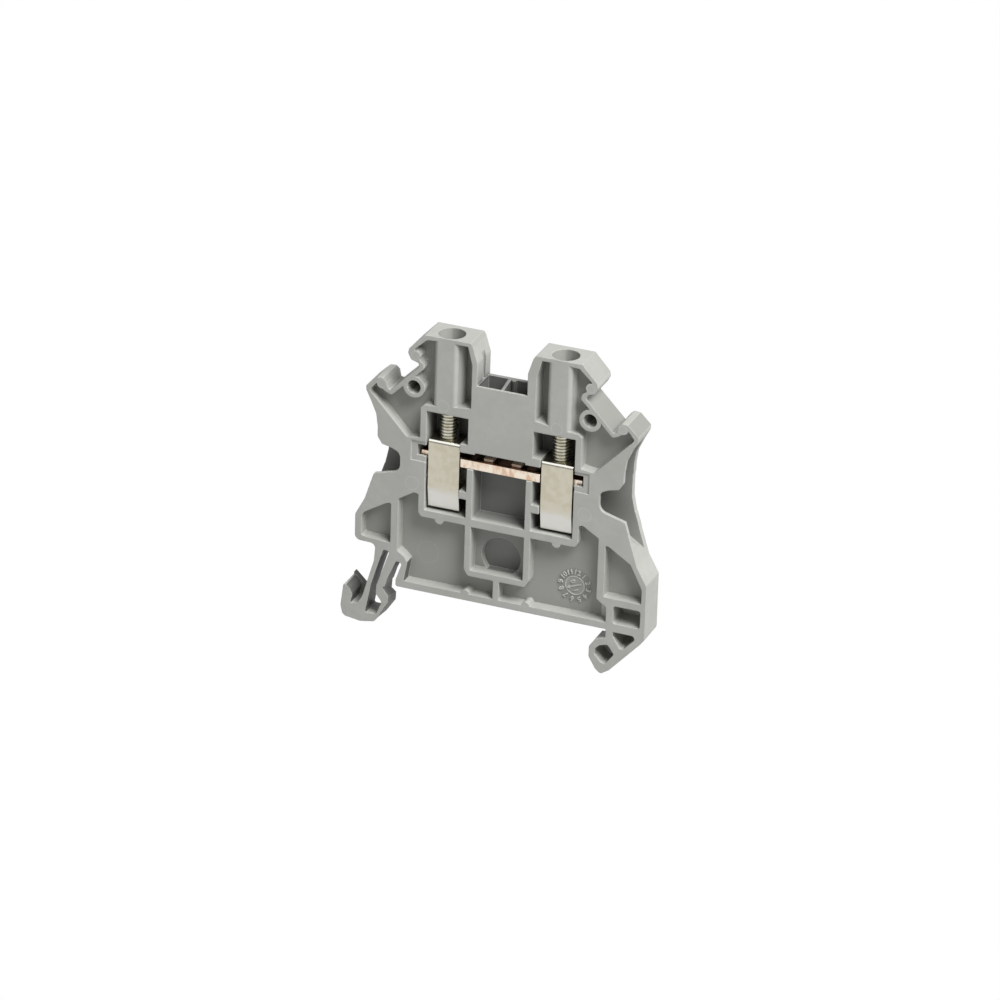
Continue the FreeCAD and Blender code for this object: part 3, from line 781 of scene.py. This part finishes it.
# %% The head and the whole screw
def slotted_head(x, y, z0, z1, radius):
    bpy.ops.mesh.primitive_cylinder_add(vertices=64, radius=radius, depth=z1 - z0,
                                        location=(x, y, (z0 + z1) / 2))
    piece = bpy.context.object
    bpy.ops.object.transform_apply(location=True, rotation=True, scale=True)
    bpy.ops.object.mode_set(mode="EDIT")
    bpy.ops.mesh.select_all(action="DESELECT")
    shape = bmesh.from_edit_mesh(piece.data)
    for edge in shape.edges:
        edge.select = all(abs(v.co.z - z1) < WELD for v in edge.verts)
    bmesh.update_edit_mesh(piece.data)
    bpy.ops.mesh.bevel(offset=HEAD_BEVEL, segments=3, affect="EDGES")
    bpy.ops.object.mode_set(mode="OBJECT")
    bpy.ops.mesh.primitive_cube_add(size=1, location=(x, y, z1))
    slot = bpy.context.object
    slot.scale = (2.4 * radius, SLOT_WIDTH, 2 * SLOT_DEPTH)
    bpy.ops.object.transform_apply(location=True, rotation=True, scale=True)
    cut = piece.modifiers.new("driver_slot", "BOOLEAN")
    cut.operation = "DIFFERENCE"
    cut.object = slot
    only(piece)
    bpy.ops.object.modifier_apply(modifier=cut.name)
    bpy.data.objects.remove(slot)
    return piece


low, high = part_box("clamping_screw_right")
SCREW_X, SCREW_Y = (low[0] + high[0]) / 2, (low[1] + high[1]) / 2


def bright_steel(name):
    finish = Finish(name)
    patches = finish.noise(0.9 * MM, 3, offset=(1, 2, 3))
    speck = finish.noise(0.08 * MM, 2)
    across = finish.maths("ABSOLUTE", finish.axis("X")) - SCREW_X
    reach = finish.reach(across, finish.axis("Y") - SCREW_Y)
    colour = finish.mix(finish.step(patches, 0.35, 0.65), rgb(206, 202, 184), rgb(230, 228, 216))
    colour = finish.mix(finish.step(speck, 0.55, 0.8, 0, 0.3), colour, rgb(176, 170, 150))
    # painted shade in the roots of the thread
    root = finish.step(reach, CREST_R - 0.10 * MM, ROOT_R + 0.02 * MM)
    finish.set("Base Color", finish.mix(root * 0.50, colour, rgb(84, 82, 68)))
    finish.set("Metallic", 1.0)
    finish.set("Roughness", 0.17 + patches * 0.10)
    return finish


screw_steel = bright_steel("screw_steel")
for side in ("left", "right"):
    source = "clamping_screw_" + side
    low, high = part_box(source)
    x, y = (low[0] + high[0]) / 2, (low[1] + high[1]) / 2
    neck = high[2] - HEAD_HEIGHT
    deselect()
    shank = threaded_shank(x, y, low[2], neck + HEAD_OVERLAP)
    deselect()
    head = slotted_head(x, y, neck, high[2], (high[0] - low[0]) / 2)
    deselect()
    shank.select_set(True)
    head.select_set(True)
    bpy.context.view_layer.objects.active = shank
    bpy.ops.object.join()
    screw = bpy.context.object
    screw.name = screw.data.name = "threaded_screw_" + side
    bpy.ops.object.transform_apply(location=True, rotation=True, scale=True)
    bpy.ops.object.shade_smooth_by_angle(angle=math.radians(35))
    screw.data.materials.clear()
    screw.data.materials.append(screw_steel.material)
    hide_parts(source)
    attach(screw, "screw_" + side)
    print(screw.name, len(screw.data.polygons), "faces")
